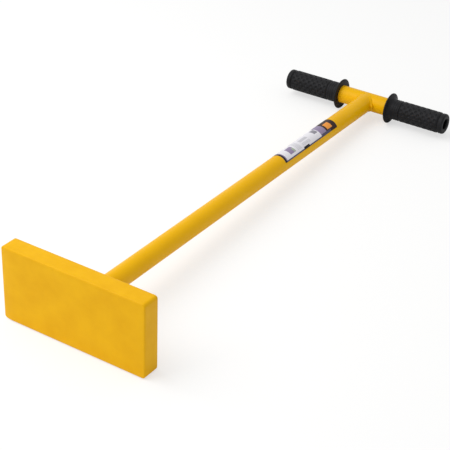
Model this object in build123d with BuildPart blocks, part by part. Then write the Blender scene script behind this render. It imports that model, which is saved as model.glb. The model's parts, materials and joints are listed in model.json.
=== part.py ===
"""Hand tamper, lying at rest: a thick steel head, a tube shaft, and a cross tube with two rubber grips.

Row frame, in millimetres: +Y runs from the head towards the handle, +Z is up and Z = 0 is the ground.
The tool lies on the head's lower back edge and on the rims of the two grip flanges, so its shaft
slopes down a little towards the handle. Every piece is drawn in the tool's own frame:
z along the shaft from the working face, y up across the head's height, x across its width.
"""
import os
from math import asin, atan2, cos, degrees, hypot, sin

from build123d import *

os.makedirs("parts", exist_ok=True)

# ---- driving dimensions -------------------------------------------------------------------------

head_width = 250.0            # across the tool, parallel to the handle
head_height = 120.0           # a standard flat bar width
head_thickness = 30.0
head_corner_radius = 5.0      # the four corners of the rectangle
head_edge_radius = 2.0        # all round the front and the back

shaft_diameter = 32.0
handle_diameter = 32.0        # cross tube
tube_wall = 2.5
face_to_handle = 845.0        # working face to the cross tube's axis
handle_offset = 3.5           # the cross tube is welded this far off centre
ear_trim = 4.0                # thin tips cut off the saddle at the shaft's end

plate_weld_leg = 6.0
tee_weld_size = 3.0

flange_gap = 98.0             # bare cross tube between the two flanges
grip_length = 111.0           # from a flange's inner face to the grip's end
grip_wall = 2.5               # rubber over the tube, at the top of the raised pattern
grip_collar_wall = 2.0        # plain stretch beside the flange
grip_collar_length = 15.0
grip_ring_wall = 2.6          # two fine rings on that stretch
grip_ring_width = 1.6
grip_groove_wall = 1.2        # between the pattern and the end collar
grip_groove_width = 2.0
grip_end_collar = 8.0
grip_end_radius = 2.0
grip_end_wall = 4.0
grip_end_hole = 19.0

flange_width = 11.5           # how far the flange stands out from the tube
flange_rim = 3.0
flange_rim_radius = 1.3
flare_length = 6.0            # cone from the flange down to the collar
flare_wall = 3.5              # rubber at the cone's foot

label_start = 537.0           # from the working face
label_length = 170.0
label_width = 36.0            # measured round the tube
label_thickness = 0.3
label_clearance = 0.0         # the film is stuck flat on the paint
grip_clearance = 0.0          # the grips are stretched on to the tube

# ---- worked out from them -----------------------------------------------------------------------

shaft_radius = shaft_diameter / 2
handle_radius = handle_diameter / 2
grip_bore = handle_radius + grip_clearance
flange_radius = grip_bore + flange_width
collar_start = flange_rim + flare_length
pattern_start = collar_start + grip_collar_length
pattern_end = grip_length - grip_end_collar - grip_groove_width
handle_reach = flange_gap / 2 + grip_length
cross_tube_length = 2 * (handle_reach - grip_end_wall)

# The ground touches two round edges: the head's lower back edge and the flanges' rims.
edge_to_handle = face_to_handle - head_thickness + head_edge_radius
edge_below_axis = head_height / 2 - head_edge_radius
slope = (
    atan2(edge_below_axis, edge_to_handle)
    - asin((flange_radius - head_edge_radius) / hypot(edge_below_axis, edge_to_handle))
)
face_height = flange_radius + face_to_handle * sin(slope)
front_reach = head_edge_radius * (1 - cos(slope)) + edge_below_axis * sin(slope)
back_reach = face_to_handle * cos(slope) + flange_radius
face_y = (front_reach - back_reach) / 2

tool = Plane(
    origin=(handle_offset, face_y, face_height),
    x_dir=(-1, 0, 0),
    z_dir=(0, cos(slope), -sin(slope)),
)
shaft_axis = Axis(tool.origin, tool.z_dir)
shaft_section = Plane(origin=tool.origin, x_dir=tool.x_dir, z_dir=-tool.y_dir)
handle_centre = tool.from_local_coords(Vector(handle_offset, 0, face_to_handle))
handle = Plane(origin=handle_centre, x_dir=tool.y_dir, z_dir=tool.x_dir)
handle_axis = Axis(handle_centre, tool.x_dir)


def finish(piece, node):
    """Name a finished piece and write it out."""
    piece.part.label = node
    export_step(piece.part, f"parts/{node}.step")


# ---- head: a cut length of thick flat bar, corners and edges dressed round ----------------------

with BuildPart() as head_plate:
    with BuildSketch(tool):
        RectangleRounded(head_width, head_height, head_corner_radius)
    extrude(amount=head_thickness)
    flat_faces = head_plate.faces().filter_by(GeomType.PLANE).sort_by(shaft_axis)
    fillet(flat_faces[0].edges() + flat_faces[-1].edges(), radius=head_edge_radius)
finish(head_plate, "head_plate")

# ---- shaft: square on the head, coped to a saddle under the cross tube --------------------------

with BuildPart() as shaft_tube:
    with BuildSketch(tool.offset(head_thickness)):
        Circle(shaft_radius)
        Circle(shaft_radius - tube_wall, mode=Mode.SUBTRACT)
    extrude(amount=face_to_handle - ear_trim - head_thickness)
    with BuildSketch(handle):
        Circle(handle_radius)
    extrude(amount=shaft_diameter, both=True, mode=Mode.SUBTRACT)
finish(shaft_tube, "shaft_tube")

# ---- cross tube: open at both ends, which stop against the grips' end walls ---------------------

with BuildPart() as cross_tube:
    with BuildSketch(handle):
        Circle(handle_radius)
        Circle(handle_radius - tube_wall, mode=Mode.SUBTRACT)
    extrude(amount=cross_tube_length / 2, both=True)
finish(cross_tube, "cross_tube")

# ---- weld round the shaft's foot: a slightly domed fillet bead ----------------------------------

with BuildPart() as plate_weld:
    with BuildSketch(shaft_section):
        with BuildLine():
            foot = (shaft_radius, head_thickness)
            toe = (shaft_radius + plate_weld_leg, head_thickness)
            top = (shaft_radius, head_thickness + plate_weld_leg)
            Line(foot, toe)
            RadiusArc(toe, top, -1.5 * plate_weld_leg)
            Line(top, foot)
        make_face()
    revolve(axis=shaft_axis)
finish(plate_weld, "plate_weld")

# ---- weld along the saddle: what lies within a bead's size of both tubes, outside both ----------

with BuildPart() as tee_weld:
    with BuildSketch(tool.offset(face_to_handle - handle_radius - shaft_radius)):
        Circle(shaft_radius + tee_weld_size)
    extrude(amount=handle_radius + shaft_radius)
    with BuildSketch(handle):
        Circle(handle_radius + tee_weld_size)
    extrude(amount=shaft_diameter, both=True, mode=Mode.INTERSECT)
    with BuildSketch(tool):
        Circle(shaft_radius)
    extrude(amount=face_to_handle, mode=Mode.SUBTRACT)
    with BuildSketch(handle):
        Circle(handle_radius)
    extrude(amount=shaft_diameter, both=True, mode=Mode.SUBTRACT)
finish(tee_weld, "tee_weld")


# ---- grips: one moulding, turned about the cross tube's axis ------------------------------------

def grip_outline():
    """Half section of a grip: x is the radius, y runs from the flange's inner face to the end."""
    ring_radius = grip_bore + grip_ring_wall
    collar_radius = grip_bore + grip_collar_wall
    pattern_radius = grip_bore + grip_wall
    groove_radius = grip_bore + grip_groove_wall
    ring_pitch = grip_collar_length / 3
    outline = [
        (grip_bore, 0),
        (flange_radius, 0),
        (flange_radius, flange_rim),
        (grip_bore + flare_wall, collar_start),
        (collar_radius, collar_start),
    ]
    for ring in (1, 2):
        ring_middle = collar_start + ring * ring_pitch
        ring_low = ring_middle - grip_ring_width / 2
        ring_high = ring_middle + grip_ring_width / 2
        outline += [
            (collar_radius, ring_low),
            (ring_radius, ring_low),
            (ring_radius, ring_high),
            (collar_radius, ring_high),
        ]
    outline += [
        (collar_radius, pattern_start),
        (pattern_radius, pattern_start),
        (pattern_radius, pattern_end),
        (groove_radius, pattern_end),
        (groove_radius, pattern_end + grip_groove_width),
        (pattern_radius, pattern_end + grip_groove_width),
        (pattern_radius, grip_length),
        (grip_end_hole / 2, grip_length),
        (grip_end_hole / 2, grip_length - grip_end_wall),
        (grip_bore, grip_length - grip_end_wall),
    ]
    return outline


for node, side in (("left_grip", 1), ("right_grip", -1)):
    outward = tool.x_dir * side
    flange_face = handle_centre + outward * (flange_gap / 2)
    grip_section = Plane(origin=flange_face, x_dir=tool.y_dir, z_dir=tool.y_dir.cross(outward))
    with BuildPart() as grip:
        with BuildSketch(grip_section):
            with BuildLine():
                Polyline(*grip_outline(), close=True)
            make_face()
        revolve(axis=handle_axis)
        circles = grip.edges().filter_by(GeomType.CIRCLE)
        rim = circles.filter_by(lambda edge: abs(edge.radius - flange_radius) < 0.01)
        fillet(rim, radius=flange_rim_radius)
        end_face = grip.faces().sort_by(Axis(flange_face, outward))[-1]
        fillet(end_face.edges().sort_by(SortBy.RADIUS)[-1:], radius=grip_end_radius)
    finish(grip, node)

# ---- label: thin film wrapped part of the way round the top of the shaft ------------------------

with BuildPart() as label:
    film_inner = shaft_radius + label_clearance
    film_outer = film_inner + label_thickness
    half_wrap = label_width / (2 * shaft_radius)
    reach = 3 * shaft_diameter
    with BuildSketch(tool.offset(label_start)):
        Circle(film_outer)
        Circle(film_inner, mode=Mode.SUBTRACT)
        with BuildLine():
            Polyline(
                (0, 0),
                (reach * sin(half_wrap), reach * cos(half_wrap)),
                (-reach * sin(half_wrap), reach * cos(half_wrap)),
                close=True,
            )
        make_face(mode=Mode.INTERSECT)
    extrude(amount=label_length)
finish(label, "label")

print(f"shaft slope {degrees(slope):.3f} deg, working face centre at", tuple(tool.origin))
print("outward normal of the working face", tuple(-tool.z_dir))
print(f"handle centre {tuple(handle_centre)}, over the grips {2 * handle_reach:.1f} mm")
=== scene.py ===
# %% [markdown]
# # A painted hand tamper, dressed in Blender
# The tool is a welded one: a thick steel head, a tube shaft and a cross tube, all sprayed the same
# yellow, with two black rubber grips pushed on and a printed film label on the shaft. The model from
# the CAD step comes in as a fixed frame in metres. Here it gets its surfaces, and four kinds of piece
# are made again with more shape: the head, the weld beads, the grips and the label.

# %% Load the fixed frame
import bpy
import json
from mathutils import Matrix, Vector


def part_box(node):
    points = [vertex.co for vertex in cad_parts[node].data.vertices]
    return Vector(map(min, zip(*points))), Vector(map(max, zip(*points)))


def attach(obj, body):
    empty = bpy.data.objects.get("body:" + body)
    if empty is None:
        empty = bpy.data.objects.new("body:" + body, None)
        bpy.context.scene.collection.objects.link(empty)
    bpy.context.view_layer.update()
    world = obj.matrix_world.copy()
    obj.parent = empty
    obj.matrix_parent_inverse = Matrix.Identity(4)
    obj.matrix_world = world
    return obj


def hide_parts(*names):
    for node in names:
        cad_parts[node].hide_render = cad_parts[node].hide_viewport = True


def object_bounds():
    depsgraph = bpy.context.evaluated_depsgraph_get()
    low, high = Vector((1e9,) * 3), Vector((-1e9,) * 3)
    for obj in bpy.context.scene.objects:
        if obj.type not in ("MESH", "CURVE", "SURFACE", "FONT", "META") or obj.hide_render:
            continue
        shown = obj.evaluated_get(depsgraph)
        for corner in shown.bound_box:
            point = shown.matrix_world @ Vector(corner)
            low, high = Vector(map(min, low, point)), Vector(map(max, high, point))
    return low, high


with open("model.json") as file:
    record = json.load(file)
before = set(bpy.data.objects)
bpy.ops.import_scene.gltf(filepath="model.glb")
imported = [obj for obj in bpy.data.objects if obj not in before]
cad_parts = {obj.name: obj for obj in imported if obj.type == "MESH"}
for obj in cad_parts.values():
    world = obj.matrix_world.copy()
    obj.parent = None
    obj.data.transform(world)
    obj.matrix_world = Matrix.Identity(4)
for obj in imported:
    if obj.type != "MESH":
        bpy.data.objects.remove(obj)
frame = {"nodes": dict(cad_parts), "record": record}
cad_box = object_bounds()
print("CAD nodes:", sorted(frame["nodes"]))

# %% Tools used further on
import json
import math

import bmesh
import bpy
from mathutils import Matrix, Vector, noise

MM = 0.001
scene = bpy.context.scene

# %% [markdown]
# ## The tool's own axes
# The tool lies on the ground a little nose-up, so its shaft isn't along a row axis. Shapes are easier
# to write in the tool's own axes: z along the shaft from the working face, y up across the head, and
# x across it. The record's flat-face mount says where the working face is and which way it looks,
# so these axes come from there, and one matrix takes a finished shape to its place.

# %% The tool's axes, from the working face
face = next(m for m in frame["record"]["mounts"] if m["name"] == "working_face")
face_centre = Vector(face["pos_m"])
along_shaft = -Vector(face["axis"]).normalized()
across = Vector((-1, 0, 0))
upward = along_shaft.cross(across)
tool = Matrix.Translation(face_centre) @ Matrix((across, upward, along_shaft)).transposed().to_4x4()
print("shaft slope in degrees:", round(math.degrees(math.asin(-along_shaft.z)), 2))

# %% Sizes read from the frame
tube_low, tube_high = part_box("cross_tube")
handle_centre = tool.inverted() @ ((tube_low + tube_high) / 2)
handle_radius = (tube_high.z - tube_low.z) / 2
shaft_low, shaft_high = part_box("shaft_tube")
shaft_radius = (shaft_high.x - shaft_low.x) / 2
head_low, head_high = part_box("head_plate")
head_width = head_high.x - head_low.x
grip_low, grip_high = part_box("right_grip")
grip_length = grip_high.x - grip_low.x
flange_radius = (grip_high.z - grip_low.z) / 2
flange_gap = grip_low.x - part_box("left_grip")[1].x
print("handle centre in tool axes, mm:", [round(c / MM, 1) for c in handle_centre])

# %% Sizes the frame can't give by itself
head_height = 120 * MM
head_thickness = 30 * MM
head_corner_radius = 5 * MM
head_edge_radius = 2 * MM

# %% [markdown]
# ## Two small helpers for shaders
# Paint makers and printers give colours as sRGB hex values, while Blender's shaders work in linear
# light, so one function turns the one into the other. A second one adds a node, sets it up and links
# it, which keeps each material readable as a list of what it is made of.

# %% Colour and node helpers
def colour(code):
    """A hex colour such as "F2B705", as linear RGBA."""
    channels = [int(code[i:i + 2], 16) / 255 for i in (0, 2, 4)]
    linear = [c / 12.92 if c <= 0.04045 else ((c + 0.055) / 1.055) ** 2.4 for c in channels]
    return (*linear, 1.0)


def add(tree, kind, inputs=None, **settings):
    """Add a node. inputs holds a value or an output socket for each input, by name or number."""
    made = tree.nodes.new("ShaderNode" + kind)
    for name, value in settings.items():
        setattr(made, name, value)
    for socket, value in (inputs or {}).items():
        if isinstance(value, bpy.types.NodeSocket):
            tree.links.new(value, made.inputs[socket])
        else:
            made.inputs[socket].default_value = value
    return made


def new_material(name):
    """An empty node material and its tree."""
    material = bpy.data.materials.new(name)
    material.use_nodes = True
    material.node_tree.nodes.clear()
    return material, material.node_tree


def close(tree, shader):
    """Join a shader to the material's output."""
    add(tree, "OutputMaterial", {"Surface": shader.outputs[0]})


# %% [markdown]
# ## Sprayed enamel
# All the steel has one coat of yellow alkyd enamel. On the tubes it lies over smooth drawn steel, so
# it is glossy, with the fine orange peel of a spray gun. On the head it lies over hot-rolled flat bar,
# whose mill scale leaves a soft, uneven mottle, and the coat is a little thinner and more orange where
# it pulled away from the rounded edges. The dry pigment is the same everywhere, so one function makes
# the enamel, told how large and strong the mottle is, how rough the steel is and how dull the gloss.

# %% Enamel material
ENAMEL_YELLOW = "F0B700"
ENAMEL_DEEP = "E8AC00"
ENAMEL_THIN = "E9AF0C"
ENAMEL_IOR = 1.22               # an alkyd is near 1.5; lowered until the sheen is as dull as it should be
# The two bore colours are bare mill scale made near black, partly real and partly painted shade for the dim
# inside of the tube.
BORE_SCALE_AND_SHADE = "100E0E"           # the blue-black skin of hot-formed tube
BORE_RUST_AND_SHADE = "1A120E"
ORANGE_PEEL = 1.6 * MM          # a gun's droplets: real peel is 1 to 2 mm across


def inside_handle(tree, place):
    """1 on the inside of the cross tube, which no spray reaches and which gets the bore's painted shade,
    and 0 on its outside.
    """
    axis = tool @ handle_centre
    spoke = add(tree, "VectorMath", {0: place, 1: axis}, operation="SUBTRACT")
    flat = add(tree, "VectorMath", {0: spoke.outputs[0], 1: (0, 1, 1)}, operation="MULTIPLY")
    away = add(tree, "VectorMath", {0: flat.outputs[0]}, operation="LENGTH")
    test = add(tree, "Math", {0: away.outputs["Value"], 1: handle_radius - 0.5 * MM}, operation="LESS_THAN")
    return test.outputs[0]


def sprayed_enamel(name, mottle_size, mottle_share, steel_relief, gloss_roughness, bore_scale_with_shade=False):
    material, tree = new_material(name)
    place = add(tree, "TexCoord").outputs["Object"]
    mottle = add(tree, "TexNoise", {"Vector": place, "Scale": 1 / mottle_size, "Detail": 4.0,
                                    "Roughness": 0.55})
    patch = add(tree, "MapRange", {"Value": mottle.outputs["Fac"], "From Min": 0.35, "From Max": 0.7,
                                   "To Min": 0.0, "To Max": mottle_share})
    coat = add(tree, "Mix", {0: patch.outputs[0], 6: colour(ENAMEL_YELLOW), 7: colour(ENAMEL_DEEP)},
               data_type="RGBA")
    edge = add(tree, "Attribute", attribute_name="thin_coat")
    thin = add(tree, "Mix", {0: edge.outputs["Fac"], 6: coat.outputs[2], 7: colour(ENAMEL_THIN)},
               data_type="RGBA")
    finish = thin.outputs[2]
    # Painted shade: the inside of the cross tube gets near-black scale colours, darker than its real bare
    # steel.
    if bore_scale_with_shade:
        bore_skin_and_shade = add(tree, "Mix", {0: patch.outputs[0], 6: colour(BORE_SCALE_AND_SHADE), 7: colour(BORE_RUST_AND_SHADE)},
                        data_type="RGBA")
        finish = add(tree, "Mix", {0: inside_handle(tree, place), 6: finish, 7: bore_skin_and_shade.outputs[2]},
                     data_type="RGBA").outputs[2]
    peel = add(tree, "TexNoise", {"Vector": place, "Scale": 1 / ORANGE_PEEL, "Detail": 1.0})
    steel = add(tree, "TexNoise", {"Vector": place, "Scale": 1 / (5 * ORANGE_PEEL), "Detail": 3.0})
    peel_bump = add(tree, "Bump", {"Height": peel.outputs["Fac"], "Strength": 0.12, "Distance": 0.05 * MM})
    steel_bump = add(tree, "Bump", {"Height": steel.outputs["Fac"], "Strength": 0.6,
                                    "Distance": steel_relief, "Normal": peel_bump.outputs[0]})
    sheen = add(tree, "MapRange", {"Value": mottle.outputs["Fac"], "From Min": 0.3, "From Max": 0.7,
                                   "To Min": gloss_roughness - 0.05, "To Max": gloss_roughness + 0.07})
    shader = add(tree, "BsdfPrincipled", {"Base Color": finish, "Roughness": sheen.outputs[0],
                                          "IOR": ENAMEL_IOR, "Normal": steel_bump.outputs[0]})
    close(tree, shader)
    return material


tube_enamel = sprayed_enamel("enamel_on_drawn_tube", 60 * MM, 0.35, 0.04 * MM, 0.38)
handle_enamel = sprayed_enamel("enamel_on_open_drawn_tube", 60 * MM, 0.35, 0.04 * MM, 0.38, bore_scale_with_shade=True)
head_enamel = sprayed_enamel("enamel_on_hot_rolled_bar", 30 * MM, 0.9, 0.20 * MM, 0.42)
weld_enamel = sprayed_enamel("enamel_on_weld", 9 * MM, 0.8, 0.12 * MM, 0.33)
print("enamels:", tube_enamel.name, head_enamel.name, weld_enamel.name)

# %% [markdown]
# ## Placing a finished shape
# Each new piece is built in the tool's axes and moved to its place by the matrix above. It is given its
# finish and put on the one rigid body, and the CAD node it stands for is hidden.

# %% Turn a bmesh into a piece
def smooth_by_angle(mesh, limit):
    """Shade the mesh smooth, with a crease where faces meet at more than the limit in degrees."""
    mesh.polygons.foreach_set("use_smooth", [True] * len(mesh.polygons))
    mesh.set_sharp_from_angle(angle=math.radians(limit))


def finish_piece(shape, name, stands_for, material, crease=40):
    mesh = bpy.data.meshes.new(name)
    bmesh.ops.recalc_face_normals(shape, faces=shape.faces)
    shape.to_mesh(mesh)
    shape.free()
    mesh.transform(tool)
    smooth_by_angle(mesh, crease)
    mesh.materials.append(material)
    piece = bpy.data.objects.new(name, mesh)
    scene.collection.objects.link(piece)
    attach(piece, "root")
    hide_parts(stands_for)
    print(name, "faces:", len(mesh.polygons))
    return piece


# %% [markdown]
# ## The head
# The head is a length sheared off a flat bar. Rolled bar isn't quite flat, and a shear drags the face
# down over the last centimetre or two before it cuts, which shows as a soft band beside the left
# end. The block starts as a box with rounded corners and edges. It is then sliced into small squares,
# so that its faces can be bent by a formula, always inwards so that it stays inside the bar's size.

# %% Head: rounded block
ROUND_STEPS = 6
SLICE = 5 * MM
SHEAR_DRAG_WIDTH = 15 * MM
SHEAR_DRAG_DEPTH = 1.5 * MM
ROLLING_WAVE = 0.25 * MM
ROLLING_WAVE_LENGTH = 70 * MM
WAVE_FADE = 15 * MM             # the wave dies out this far from the edges
THIN_COAT = 0.8                 # how far the colour goes towards the thin coat's on an edge
THIN_COAT_START = 0.4 * MM
THIN_COAT_FADE = 2.2 * MM


def rounded_block():
    shape = bmesh.new()
    bmesh.ops.create_cube(shape, size=1)
    for v in shape.verts:
        v.co = Vector((v.co.x * head_width, v.co.y * head_height, (v.co.z + 0.5) * head_thickness))
    upright = [e for e in shape.edges if abs(e.verts[0].co.z - e.verts[1].co.z) > head_thickness / 2]
    bmesh.ops.bevel(shape, geom=upright, offset=head_corner_radius, segments=ROUND_STEPS,
                    affect="EDGES", profile=0.5)
    rims = [e for e in shape.edges if abs(e.verts[0].co.z - e.verts[1].co.z) < 1e-7]
    bmesh.ops.bevel(shape, geom=rims, offset=head_edge_radius, segments=ROUND_STEPS,
                    affect="EDGES", profile=0.5)
    return shape


def slice_up(shape, direction, low, high):
    """Cut the whole shape into strips of about SLICE, square to the direction."""
    count = round((high - low) / SLICE)
    for i in range(1, count):
        at = low + (high - low) * i / count
        bmesh.ops.bisect_plane(shape, geom=shape.verts[:] + shape.edges[:] + shape.faces[:],
                               plane_co=direction * at, plane_no=direction, dist=1e-6)


head = rounded_block()
half_width, half_height = head_width / 2, head_height / 2
slice_up(head, Vector((1, 0, 0)), -half_width + head_corner_radius, half_width - head_corner_radius)
slice_up(head, Vector((0, 1, 0)), -half_height + head_corner_radius, half_height - head_corner_radius)
slice_up(head, Vector((0, 0, 1)), head_edge_radius, head_thickness - head_edge_radius)
print("head faces after slicing:", len(head.faces))

# %% Head: shear drag, rolling wave and where the coat is thin
def ease(share):
    """0 to 1, level at both ends."""
    share = min(max(share, 0), 1)
    return share * share * (3 - 2 * share)


def bend_head(co):
    """The inward shift of a point of the head."""
    to_back = co.z / head_thickness
    drag = SHEAR_DRAG_DEPTH * ease((co.x - half_width + SHEAR_DRAG_WIDTH) / SHEAR_DRAG_WIDTH)
    wave = (noise.noise(co / ROLLING_WAVE_LENGTH) + 1) / 2 * ROLLING_WAVE
    inside = ease((half_height - abs(co.y)) / WAVE_FADE) * ease((half_width - abs(co.x)) / WAVE_FADE)
    front = drag * (1 - to_back) + wave * inside * (1 - to_back)
    back = wave * inside * to_back
    return Vector((0, 0, front - back))


def distance_to_edge(co):
    """How far a point is from an edge: its distance to the second nearest face of the plain block."""
    to_faces = sorted((half_width - abs(co.x), half_height - abs(co.y),
                       min(co.z, head_thickness - co.z)))
    return to_faces[1]


thin_layer = head.verts.layers.float.new("thin_coat")
for v in head.verts:
    v[thin_layer] = THIN_COAT * (1 - ease((distance_to_edge(v.co) - THIN_COAT_START) / THIN_COAT_FADE))
for v in head.verts:
    v.co += bend_head(v.co)
head_piece = finish_piece(head, "head_block", "head_plate", head_enamel, 35)

# %% [markdown]
# ## Weld beads
# A hand-laid fillet weld is a string of overlapping puddles, each a few millimetres long, so the bead
# swells and narrows a little and carries fine crescent ripples. Under paint they are softened. Each
# bead follows a closed path. At every step along it there is a section: a toe on one surface, a domed
# face, a toe on the other, and a buried corner between them.

# %% Bead builder
BEAD_STEPS = 168
FACE_STEPS = 8
RIPPLE_PITCH = 3.2 * MM
RIPPLE = 0.28 * MM
PUDDLE = 11 * MM
SWELL = 0.16                    # how much a bead widens and narrows, as a share of its leg
BURIED = 0.25 * MM              # how far a bead's toes and corner sink into the tubes
TOES_LEVEL = 0.2 * MM           # below this the two toes give no outward direction


def bead(corner_at, toe_a_at, toe_b_at, dome, seed, ripple_height=RIPPLE, extra_at=lambda share: 0.0):
    """Loft a bead. The functions give points, and extra height, for a share of the way round."""
    shape = bmesh.new()
    corners = [corner_at(i / BEAD_STEPS) for i in range(BEAD_STEPS)]
    travelled = 0.0
    rings = []
    for i in range(BEAD_STEPS):
        share = i / BEAD_STEPS
        travelled += (corners[i] - corners[i - 1]).length if i else 0.0
        swell = 1 + SWELL * noise.noise(Vector((travelled / PUDDLE, seed, 0)))
        ripple = ripple_height * (0.5 - abs(math.sin(math.pi * travelled / RIPPLE_PITCH)))
        a, b = toe_a_at(share, swell), toe_b_at(share, 2 - swell)
        outward = ((a + b) / 2 - corners[i])
        if outward.length < TOES_LEVEL:
            outward = corners[i] - Vector((0, 0, corners[i].z))
        outward.normalize()
        ring = [shape.verts.new(corners[i] - outward * BURIED)]
        for j in range(FACE_STEPS + 1):
            t = j / FACE_STEPS
            lift = math.sin(math.pi * t) * (dome * swell + ripple + extra_at(share))
            ring.append(shape.verts.new(a.lerp(b, t) + outward * lift))
        rings.append(ring)
    for i in range(BEAD_STEPS):
        here, there = rings[i], rings[(i + 1) % BEAD_STEPS]
        for j in range(len(here)):
            k = (j + 1) % len(here)
            shape.faces.new((here[j], here[k], there[k], there[j]))
    return shape


# %% Foot weld: round the shaft, on the back of the head
FOOT_LEG = 5.2 * MM
FOOT_DOME = 0.5 * MM
FOOT_SEED = 3.1


def foot_point(share, radius, height):
    turn = math.tau * share
    return Vector((radius * math.cos(turn), radius * math.sin(turn), head_thickness + height))


foot_weld = bead(
    lambda share: foot_point(share, shaft_radius, 0),
    lambda share, swell: foot_point(share, shaft_radius + FOOT_LEG * swell, -BURIED),
    lambda share, swell: foot_point(share, shaft_radius - BURIED, FOOT_LEG * swell),
    FOOT_DOME, FOOT_SEED,
)
finish_piece(foot_weld, "foot_weld_bead", "plate_weld", weld_enamel, 60)

# %% [markdown]
# The second bead follows the saddle where two equal tubes cross. In the tool's axes a point at a turn
# round the shaft meets the cross tube at a height that drops by the square root of what is left of its
# radius. At the two sides the tubes are tangent, and there the bead is just a low mound over the seam.
# The paint has filled most of its ripples, and one lump is left where the welder broke off the arc.

# %% Saddle weld: where the shaft meets the cross tube
SADDLE_LEG = 3.9 * MM
HANDLE_LEG_SHARE = 0.8          # the leg on the cross tube is a little shorter
SADDLE_DOME = 0.35 * MM
SADDLE_RIPPLE = 0.12 * MM
SADDLE_SEED = 7.7
LAST_PUDDLE = 0.49              # share of the way round where the welder stopped
LAST_PUDDLE_LENGTH = 0.03
LAST_PUDDLE_HEIGHT = 4.4 * MM
SEAM_ROUNDING = 2.5 * MM        # rounds the path where the two branches of the saddle meet


def saddle_corner(share):
    turn = math.tau * share
    x, y = shaft_radius * math.cos(turn), shaft_radius * math.sin(turn)
    left = max(handle_radius ** 2 - y ** 2, 0)
    return Vector((x, y, handle_centre.z - math.sqrt(left + SEAM_ROUNDING ** 2)))


def saddle_travel(share):
    ahead, behind = saddle_corner(share + 1e-3), saddle_corner(share - 1e-3)
    return (ahead - behind).normalized()


def toe_on_shaft(share, swell):
    corner = saddle_corner(share)
    normal = Vector((corner.x, corner.y, 0)).normalized()
    down = normal.cross(saddle_travel(share)).normalized()
    down *= -1 if down.z > 0 else 1
    toe = corner + down * SADDLE_LEG * swell
    radius = Vector((toe.x, toe.y, 0)).length
    return Vector((toe.x, toe.y, 0)) * ((shaft_radius - BURIED) / radius) + Vector((0, 0, toe.z))


def toe_on_handle(share, swell):
    corner = saddle_corner(share)
    normal = Vector((0, corner.y, corner.z - handle_centre.z)).normalized()
    away = saddle_travel(share).cross(normal).normalized()
    outward = Vector((corner.x, corner.y, 0)).normalized()
    away *= -1 if away.dot(outward) + 0.3 * away.z < 0 else 1
    toe = corner + away * SADDLE_LEG * HANDLE_LEG_SHARE * swell
    spoke = Vector((0, toe.y, toe.z - handle_centre.z)).normalized() * (handle_radius - BURIED)
    return Vector((toe.x, spoke.y, handle_centre.z + spoke.z))


def last_puddle(share):
    """The lump left where the arc was broken off."""
    away = abs((share - LAST_PUDDLE + 0.5) % 1 - 0.5)
    return LAST_PUDDLE_HEIGHT * math.exp(-(away / LAST_PUDDLE_LENGTH) ** 2)


saddle_weld = bead(saddle_corner, toe_on_shaft, toe_on_handle, SADDLE_DOME, SADDLE_SEED,
                   SADDLE_RIPPLE, last_puddle)
finish_piece(saddle_weld, "saddle_weld_bead", "tee_weld", weld_enamel, 60)

# %% [markdown]
# ## Moulded grips
# Each grip is one rubber moulding: a hand guard flange with a rounded rim, a plain collar with fine
# rings, a long stretch of staggered pits with pads between them, a groove, and an end wall with a
# round hole. The pits are real relief, a millimetre and a half deep, so they are modelled. The surface
# is a sheet of rings, and in the patterned stretch the pits follow the product of two cosines, which
# is just the staggered layout. Only the half of it above the rim makes pits, and the rest stays level.

# %% Grip sizes
GRIP_TURNS = 192                # points round a ring
PADS_ROUND = 10
PAD_PITCH = 11.0 * MM           # along the grip, pad to pad in one line
PAD_HEIGHT = 1.5 * MM           # of a pad above a pit
PIT_RIM = 0.02                  # where a pit begins, on a wave that runs from -1 to 1
PIT_STEEPNESS = 0.6             # under 1 gives a pit steep sides
PATTERN_FADE = 3 * MM
PAD_TOP_RADIUS = 18.5 * MM
COLLAR_RADIUS = 18.0 * MM
RING_HEIGHT = 0.55 * MM
RING_SPREAD = 0.65 * MM
RING_PLACES = (13.5 * MM, 17.5 * MM, 21.5 * MM)
PATTERN_START = 24.5 * MM
PATTERN_END = 101 * MM
GROOVE_DEPTH = 1.0 * MM
GROOVE_SPREAD = 0.8 * MM
END_COLLAR_RISE = 2 * MM
END_COLLAR_RADIUS = 18.1 * MM
END_ROUNDING = 3.0 * MM
LIP_ROUNDING = 2.0 * MM
END_WALL = 4 * MM
HOLE_RADIUS = 9.5 * MM
FLANGE_THICKNESS = 3 * MM
RIM_ROUNDING = 1.4 * MM
FLARE_END = 10.5 * MM
FLARE_STEPS = 12
RING_STEP = 0.55 * MM           # along the grip, between rings of the mesh


def arc(centre_radius, centre_along, rounding, start, stop, steps):
    """Points of a rounding in the half section, as (radius, along, relief)."""
    turns = [math.radians(start + (stop - start) * i / steps) for i in range(steps + 1)]
    return [(centre_radius + rounding * math.sin(t), centre_along - rounding * math.cos(t), 0)
            for t in turns]


def plain_radius(along):
    """Radius of the collar, rings and groove, before the pads are added."""
    if along < PATTERN_START:
        radius = COLLAR_RADIUS
        for ring_at in RING_PLACES:
            radius += RING_HEIGHT * math.exp(-((along - ring_at) / RING_SPREAD) ** 2)
        return radius
    end_collar = ease((along - PATTERN_END) / END_COLLAR_RISE)
    groove = GROOVE_DEPTH * math.exp(-((along - PATTERN_END - GROOVE_SPREAD) / GROOVE_SPREAD) ** 2)
    base = PAD_TOP_RADIUS - PAD_HEIGHT
    return base + (END_COLLAR_RADIUS - base) * end_collar - groove


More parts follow.
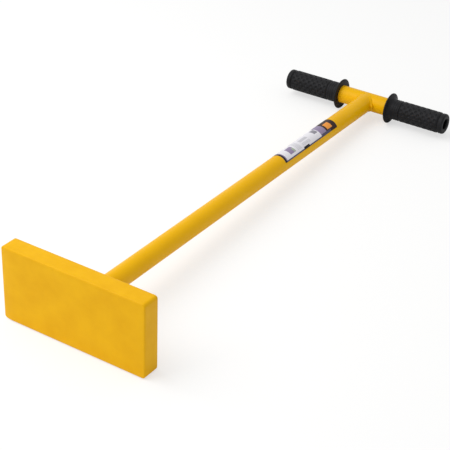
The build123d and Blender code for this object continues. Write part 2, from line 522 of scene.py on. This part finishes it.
def grip_profile():
    """The closed half section, from the flange's bore round the outside and back down the bore."""
    bore = handle_radius
    rim_centre = flange_radius - RIM_ROUNDING
    profile = [(bore, 0, 0), (bore + 4 * MM, 0, 0), (rim_centre - 1 * MM, 0, 0)]
    profile += arc(rim_centre, RIM_ROUNDING, RIM_ROUNDING, 0, 90, 6)
    profile += arc(rim_centre, FLANGE_THICKNESS - RIM_ROUNDING, RIM_ROUNDING, 90, 180, 6)
    flare = (Vector((rim_centre, FLANGE_THICKNESS)),
             Vector((COLLAR_RADIUS + 0.6 * MM, FLANGE_THICKNESS + 1.2 * MM)),
             Vector((COLLAR_RADIUS, FLARE_END)))
    for i in range(1, FLARE_STEPS + 1):
        t = i / FLARE_STEPS
        radius, along = (1 - t) ** 2 * flare[0] + 2 * t * (1 - t) * flare[1] + t * t * flare[2]
        profile.append((radius, along, 0))
    last = grip_length - END_ROUNDING
    count = round((last - FLARE_END) / RING_STEP)
    for i in range(1, count + 1):
        along = FLARE_END + (last - FLARE_END) * i / count
        fade = ease((along - PATTERN_START) / PATTERN_FADE) * ease((PATTERN_END - along) / PATTERN_FADE)
        profile.append((plain_radius(along), along, fade))
    end_centre = END_COLLAR_RADIUS - END_ROUNDING
    profile += arc(end_centre, last, END_ROUNDING, 90, 180, 8)[1:]
    lip_centre = HOLE_RADIUS + LIP_ROUNDING
    profile += [(lip_centre + 1.4 * MM, grip_length - 0.35 * MM, 0)]
    profile += arc(lip_centre, grip_length - LIP_ROUNDING, LIP_ROUNDING, 180, 270, 8)
    profile += [(HOLE_RADIUS, grip_length - END_WALL, 0)]
    profile += [(bore, grip_length - END_WALL, 0), (bore, grip_length / 2, 0)]
    return profile


print("points in a grip's half section:", len(grip_profile()))


# %% Grip mesh
def pad_relief(along, turn):
    """0 in a pit and 1 on the pads between the pits."""
    wave = math.cos(math.tau * (along - PATTERN_START) / PAD_PITCH) * math.cos(PADS_ROUND * turn)
    return 1 - ease((wave - PIT_RIM) / (1 - PIT_RIM)) ** PIT_STEEPNESS


def moulded_grip(side, twist):
    shape = bmesh.new()
    inner_face = handle_centre.x + side * flange_gap / 2
    rings = []
    for radius, along, relief in grip_profile():
        ring = []
        for i in range(GRIP_TURNS):
            turn = math.tau * i / GRIP_TURNS
            r = radius + PAD_HEIGHT * relief * pad_relief(along, turn + twist)
            ring.append(shape.verts.new((inner_face + side * along, r * math.cos(turn),
                                         handle_centre.z + r * math.sin(turn))))
        rings.append(ring)
    for j in range(len(rings)):
        here, there = rings[j], rings[(j + 1) % len(rings)]
        for i in range(GRIP_TURNS):
            k = (i + 1) % GRIP_TURNS
            shape.faces.new((here[i], here[k], there[k], there[i]))
    return shape


# %% [markdown]
# The rubber is a soft black PVC compound. It is never truly black: filler and mould spark texture
# lift it to a dark grey with a wide, dull shine. A fine grain bump stands for the spark texture, drawn
# at half a millimetre so that it shows.

# %% Rubber material
RUBBER_GREY = "131315"
RUBBER_DUSTY = "1C1C1F"
RUBBER_IOR = 1.25               # PVC is near 1.5; lowered because the spark texture hides most of its shine
SPARK_GRAIN = 0.5 * MM


def moulded_rubber(name):
    material, tree = new_material(name)
    place = add(tree, "TexCoord").outputs["Object"]
    dust = add(tree, "TexNoise", {"Vector": place, "Scale": 1 / (14 * MM), "Detail": 5.0, "Roughness": 0.6})
    tone = add(tree, "MapRange", {"Value": dust.outputs["Fac"], "From Min": 0.35, "From Max": 0.7})
    body = add(tree, "Mix", {0: tone.outputs[0], 6: colour(RUBBER_GREY), 7: colour(RUBBER_DUSTY)},
               data_type="RGBA")
    grain = add(tree, "TexNoise", {"Vector": place, "Scale": 1 / SPARK_GRAIN, "Detail": 2.0})
    bump = add(tree, "Bump", {"Height": grain.outputs["Fac"], "Strength": 0.35, "Distance": 0.06 * MM})
    dull = add(tree, "MapRange", {"Value": dust.outputs["Fac"], "From Min": 0.3, "From Max": 0.7,
                                  "To Min": 0.44, "To Max": 0.58})
    shader = add(tree, "BsdfPrincipled", {"Base Color": body.outputs[2], "Roughness": dull.outputs[0],
                                          "IOR": RUBBER_IOR, "Normal": bump.outputs[0]})
    close(tree, shader)
    return material


RIGHT_GRIP_TWIST = 0.13         # radians; the two grips weren't pushed on at the same turn
grip_rubber = moulded_rubber("soft_pvc_rubber")
finish_piece(moulded_grip(1, 0.0), "grip_left", "left_grip", grip_rubber, 50)
finish_piece(moulded_grip(-1, RIGHT_GRIP_TWIST), "grip_right", "right_grip", grip_rubber, 50)

# %% [markdown]
# ## Film label
# A strip of printed polypropylene film is wrapped part of the way round the top of the shaft. It is a
# thin shell of its own, with rounded corners and a clear gloss. The print is made by the shader from a
# flat map in metres, along the strip and round it, so each block is placed as a printer would place
# it. It carries plain colour blocks and two dotted tints only, and no words or signs.

# %% Label sizes
LABEL_START = 537 * MM
LABEL_LENGTH = 170 * MM
LABEL_WIDTH = 36 * MM
LABEL_THICKNESS = 0.3 * MM
LABEL_CORNER = 2.5 * MM
LABEL_COLUMNS = 48              # faces round the tube


def label_rows():
    """Distances along the label, close together at the rounded corners."""
    corner = [LABEL_CORNER * (1 - math.cos(math.pi / 2 * i / 6)) for i in range(7)]
    middle = [LABEL_CORNER + (LABEL_LENGTH - 2 * LABEL_CORNER) * i / 40 for i in range(1, 40)]
    return corner + middle + [LABEL_LENGTH - c for c in reversed(corner)]


def half_width_at(along):
    """Half the label's width, less where a corner is rounded."""
    from_end = min(along, LABEL_LENGTH - along, LABEL_CORNER)
    cut = LABEL_CORNER - math.sqrt(max(LABEL_CORNER ** 2 - (LABEL_CORNER - from_end) ** 2, 0))
    return LABEL_WIDTH / 2 - cut


def wrapped_film():
    shape = bmesh.new()
    print_map = shape.loops.layers.uv.new("print")
    sheets = []
    for radius in (shaft_radius, shaft_radius + LABEL_THICKNESS):
        rows = []
        for along in label_rows():
            row = []
            for i in range(LABEL_COLUMNS + 1):
                around = half_width_at(along) * (2 * i / LABEL_COLUMNS - 1)
                turn = around / shaft_radius
                co = (-radius * math.sin(turn), radius * math.cos(turn), LABEL_START + along)
                row.append((shape.verts.new(co), along, around))
            rows.append(row)
        sheets.append(rows)
    inner, outer = sheets
    quads = []
    last_row = len(inner) - 1
    for j in range(last_row):
        for i in range(LABEL_COLUMNS):
            quads.append((outer[j][i], outer[j][i + 1], outer[j + 1][i + 1], outer[j + 1][i]))
            quads.append((inner[j][i], inner[j + 1][i], inner[j + 1][i + 1], inner[j][i + 1]))
        for i in (0, LABEL_COLUMNS):
            quads.append((inner[j][i], outer[j][i], outer[j + 1][i], inner[j + 1][i]))
    for i in range(LABEL_COLUMNS):
        for j in (0, last_row):
            quads.append((inner[j][i], inner[j][i + 1], outer[j][i + 1], outer[j][i]))
    for quad in quads:
        made = shape.faces.new([corner[0] for corner in quad])
        for loop, corner in zip(made.loops, quad):
            loop[print_map].uv = (corner[1], corner[2])
    return shape


# %% Label print
FILM_WHITE = "E9E7EC"
FILM_LILAC = "9486A4"
FILM_SLATE = "4C4B62"
FILM_BROWN = "250A05"
FILM_ORANGE = "F09A3C"
FILM_BLACK = "0C0B0C"
FILM_GREY = "8F8D96"
FILM_PALE = "C9C8CE"
FILM_SAGE = "A6B49F"
FILM_IOR = 1.26                 # a matt varnish over the print takes most of its shine
SCREEN_PITCH = 2.2 * MM         # a coarse halftone, far wider than a real one so that it shows
DOT_RADIUS = 0.42               # as a share of the pitch


def printed_block(tree, along, around, low, high, left, right):
    """1 inside a printed rectangle and 0 outside, with its limits in mm."""
    tests = [
        add(tree, "Math", {0: along, 1: low * MM}, operation="GREATER_THAN"),
        add(tree, "Math", {0: along, 1: high * MM}, operation="LESS_THAN"),
        add(tree, "Math", {0: around, 1: left * MM}, operation="GREATER_THAN"),
        add(tree, "Math", {0: around, 1: right * MM}, operation="LESS_THAN"),
    ]
    inside = tests[0].outputs[0]
    for test in tests[1:]:
        inside = add(tree, "Math", {0: inside, 1: test.outputs[0]}, operation="MULTIPLY").outputs[0]
    return inside


def printed_film(name):
    material, tree = new_material(name)
    flat = add(tree, "UVMap", uv_map="print")
    axes = add(tree, "SeparateXYZ", {0: flat.outputs[0]})
    along, around = axes.outputs[0], axes.outputs[1]
    screen = add(tree, "TexVoronoi", {"Vector": flat.outputs[0], "Scale": 1 / SCREEN_PITCH,
                                      "Randomness": 0.0})
    dots = add(tree, "Math", {0: screen.outputs["Distance"], 1: DOT_RADIUS},
               operation="LESS_THAN").outputs[0]
    # Each block is its ink, then its limits in mm (along from the foot end, then round), then its tint.
    blocks = [
        (FILM_WHITE, (7, 119, -18, 15.6), None),
        (FILM_SLATE, (0, 170, 15.6, 18), None),
        (FILM_LILAC, (119, 139, -18, 15.6), None),
        (FILM_BROWN, (137, 171, -18, 18), None),
        (FILM_SLATE, (119, 150, 13.2, 18), None),
        (FILM_ORANGE, (142, 158, -1, 12), None),
        (FILM_GREY, (106, 117, -5.5, 5.5), None),
        (FILM_PALE, (63, 87, -3, 3), None),
        (FILM_PALE, (63, 87, 6, 11), dots),
        (FILM_PALE, (44, 56, -12, 12), dots),
        (FILM_LILAC, (22, 39, -4, 11), None),
        (FILM_SAGE, (34, 39, 2, 10.5), None),
        (FILM_BLACK, (0, 4.5, -18, 18), None),
        (FILM_BLACK, (61, 78, 13.2, 18), None),
    ]
    ink = colour(FILM_LILAC)
    for code, limits, tint in blocks:
        mask = printed_block(tree, along, around, *limits)
        if tint is not None:
            mask = add(tree, "Math", {0: mask, 1: tint}, operation="MULTIPLY").outputs[0]
        ink = add(tree, "Mix", {0: mask, 6: ink, 7: colour(code)}, data_type="RGBA").outputs[2]
    place = add(tree, "TexCoord").outputs["Object"]
    creases = add(tree, "TexNoise", {"Vector": place, "Scale": 1 / (12 * MM), "Detail": 2.0})
    bump = add(tree, "Bump", {"Height": creases.outputs["Fac"], "Strength": 0.4, "Distance": 0.08 * MM})
    shader = add(tree, "BsdfPrincipled", {"Base Color": ink, "Roughness": 0.34, "IOR": FILM_IOR,
                                          "Normal": bump.outputs[0]})
    close(tree, shader)
    return material


film = printed_film("printed_polypropylene_film")
finish_piece(wrapped_film(), "film_label", "label", film, 40)

# %% [markdown]
# ## The two tubes
# The CAD tubes already have the right shape, coped end and open bores, so they stay, and only their
# material slots change. The cross tube's bore can be seen through the holes in the grips. No spray
# gun reaches in there, so its enamel gives way to dark mill scale on the inside. That scale is made
# near black, darker than bare steel, as painted shade for the dim inside of the bore.

# %% Paint the CAD tubes
for name, enamel in (("shaft_tube", tube_enamel), ("cross_tube", handle_enamel)):
    tube = frame["nodes"][name]
    for material_slot in tube.material_slots:
        material_slot.material = enamel
    print(name, "faces:", len(tube.data.polygons))

# %% [markdown]
# ## Floor, light and camera
# A pale sweep under the tool and a bright, even room give an even, flat light. One
# large soft lamp overhead and to the left models the round tubes, and the white floor throws light
# back up at them. The floor shows its own soft shadow, and what the camera sees of it is lifted to
# white elsewhere.

# %% Floor
FLOOR_HALF = 6.0
FLOOR_WHITE = "F7F7F6"
FLOOR_SHADE = "EDEDEC"
LIFTED_SHARE = 0.55             # how much of what the camera sees of the floor is plain white
LIFTED_WHITE = 1.08             # a little over white, so that the open floor reads as plain white


def studio_floor(name):
    material, tree = new_material(name)
    place = add(tree, "TexCoord").outputs["Object"]
    paper = add(tree, "TexNoise", {"Vector": place, "Scale": 8.0, "Detail": 3.0})
    tone = add(tree, "MapRange", {"Value": paper.outputs["Fac"], "To Min": 0.99, "To Max": 1.0})
    tint = add(tree, "Mix", {0: tone.outputs[0], 6: colour(FLOOR_SHADE), 7: colour(FLOOR_WHITE)},
               data_type="RGBA")
    sweep = add(tree, "BsdfDiffuse", {"Color": tint.outputs[2]})
    lifted = add(tree, "Emission", {"Color": (1, 1, 1, 1), "Strength": LIFTED_WHITE})
    rays = add(tree, "LightPath")
    seen = add(tree, "Math", {0: rays.outputs["Is Camera Ray"], 1: LIFTED_SHARE},
               operation="MULTIPLY")
    mixed = add(tree, "MixShader", {0: seen.outputs[0], 1: sweep.outputs[0], 2: lifted.outputs[0]})
    close(tree, mixed)
    return material


floor_mesh = bpy.data.meshes.new("studio_floor")
floor_mesh.from_pydata([(-FLOOR_HALF, -FLOOR_HALF, 0), (FLOOR_HALF, -FLOOR_HALF, 0),
                        (FLOOR_HALF, FLOOR_HALF, 0), (-FLOOR_HALF, FLOOR_HALF, 0)], [], [(0, 1, 2, 3)])
floor_mesh.materials.append(studio_floor("white_paper_sweep"))
floor = bpy.data.objects.new("studio_floor", floor_mesh)
scene.collection.objects.link(floor)

# %% Room light
ROOM_STRENGTH = 0.57
room = bpy.data.worlds.new("white_room")
room.use_nodes = True
room_tree = room.node_tree
room_tree.nodes.clear()
rays = add(room_tree, "LightPath")
seen = rays.outputs["Is Camera Ray"]
for ray in ("Is Glossy Ray", "Is Transmission Ray"):
    seen = add(room_tree, "Math", {0: seen, 1: rays.outputs[ray]}, operation="MAXIMUM").outputs[0]
level = add(room_tree, "MapRange", {"Value": seen, "To Min": ROOM_STRENGTH, "To Max": 1.0})
sky = add(room_tree, "Background", {"Color": (1, 1, 1, 1), "Strength": level.outputs[0]})
add(room_tree, "OutputWorld", {"Surface": sky.outputs[0]})
scene.world = room

# %% Lamps
def soft_lamp(name, place, aim, size, watts):
    lamp = bpy.data.lights.new(name, "AREA")
    lamp.shape = "SQUARE"
    lamp.size = size
    lamp.energy = watts
    holder = bpy.data.objects.new(name, lamp)
    holder.location = place
    holder.rotation_euler = (Vector(aim) - Vector(place)).to_track_quat("-Z", "Y").to_euler()
    scene.collection.objects.link(holder)
    print(name, "at", tuple(place))


middle = (cad_box[0] + cad_box[1]) / 2
SOFTBOX_PLACE = (-1.04, -0.86, 1.86)
SOFTBOX_SIZE = 2.0
SOFTBOX_WATTS = 36
soft_lamp("overhead_softbox", SOFTBOX_PLACE, middle, SOFTBOX_SIZE, SOFTBOX_WATTS)

# %% Camera
CAMERA_AZIMUTH = 33.45          # degrees to the right of straight at the working face
CAMERA_ELEVATION = 32.37
CAMERA_ROLL = 0.63
CAMERA_DISTANCE = 2.143
CAMERA_AIM = Vector((-0.0016, -0.0485, -0.0020))
CAMERA_LENS = 107.6
azimuth, elevation = math.radians(CAMERA_AZIMUTH), math.radians(CAMERA_ELEVATION)
backward = Vector((math.sin(azimuth) * math.cos(elevation),
                   -math.cos(azimuth) * math.cos(elevation), math.sin(elevation)))
camera_data = bpy.data.cameras.new("studio_camera")
camera_data.lens = CAMERA_LENS
camera_data.sensor_width = 36
camera = bpy.data.objects.new("studio_camera", camera_data)
turned = backward.to_track_quat("Z", "Y").to_matrix().to_4x4()
camera.matrix_world = (Matrix.Translation(CAMERA_AIM + backward * CAMERA_DISTANCE) @ turned
                       @ Matrix.Rotation(math.radians(CAMERA_ROLL), 4, "Z"))
scene.collection.objects.link(camera)
scene.camera = camera
print("camera at", [round(c, 3) for c in camera.matrix_world.translation])

# %% Colour management
scene.view_settings.view_transform = "Standard"
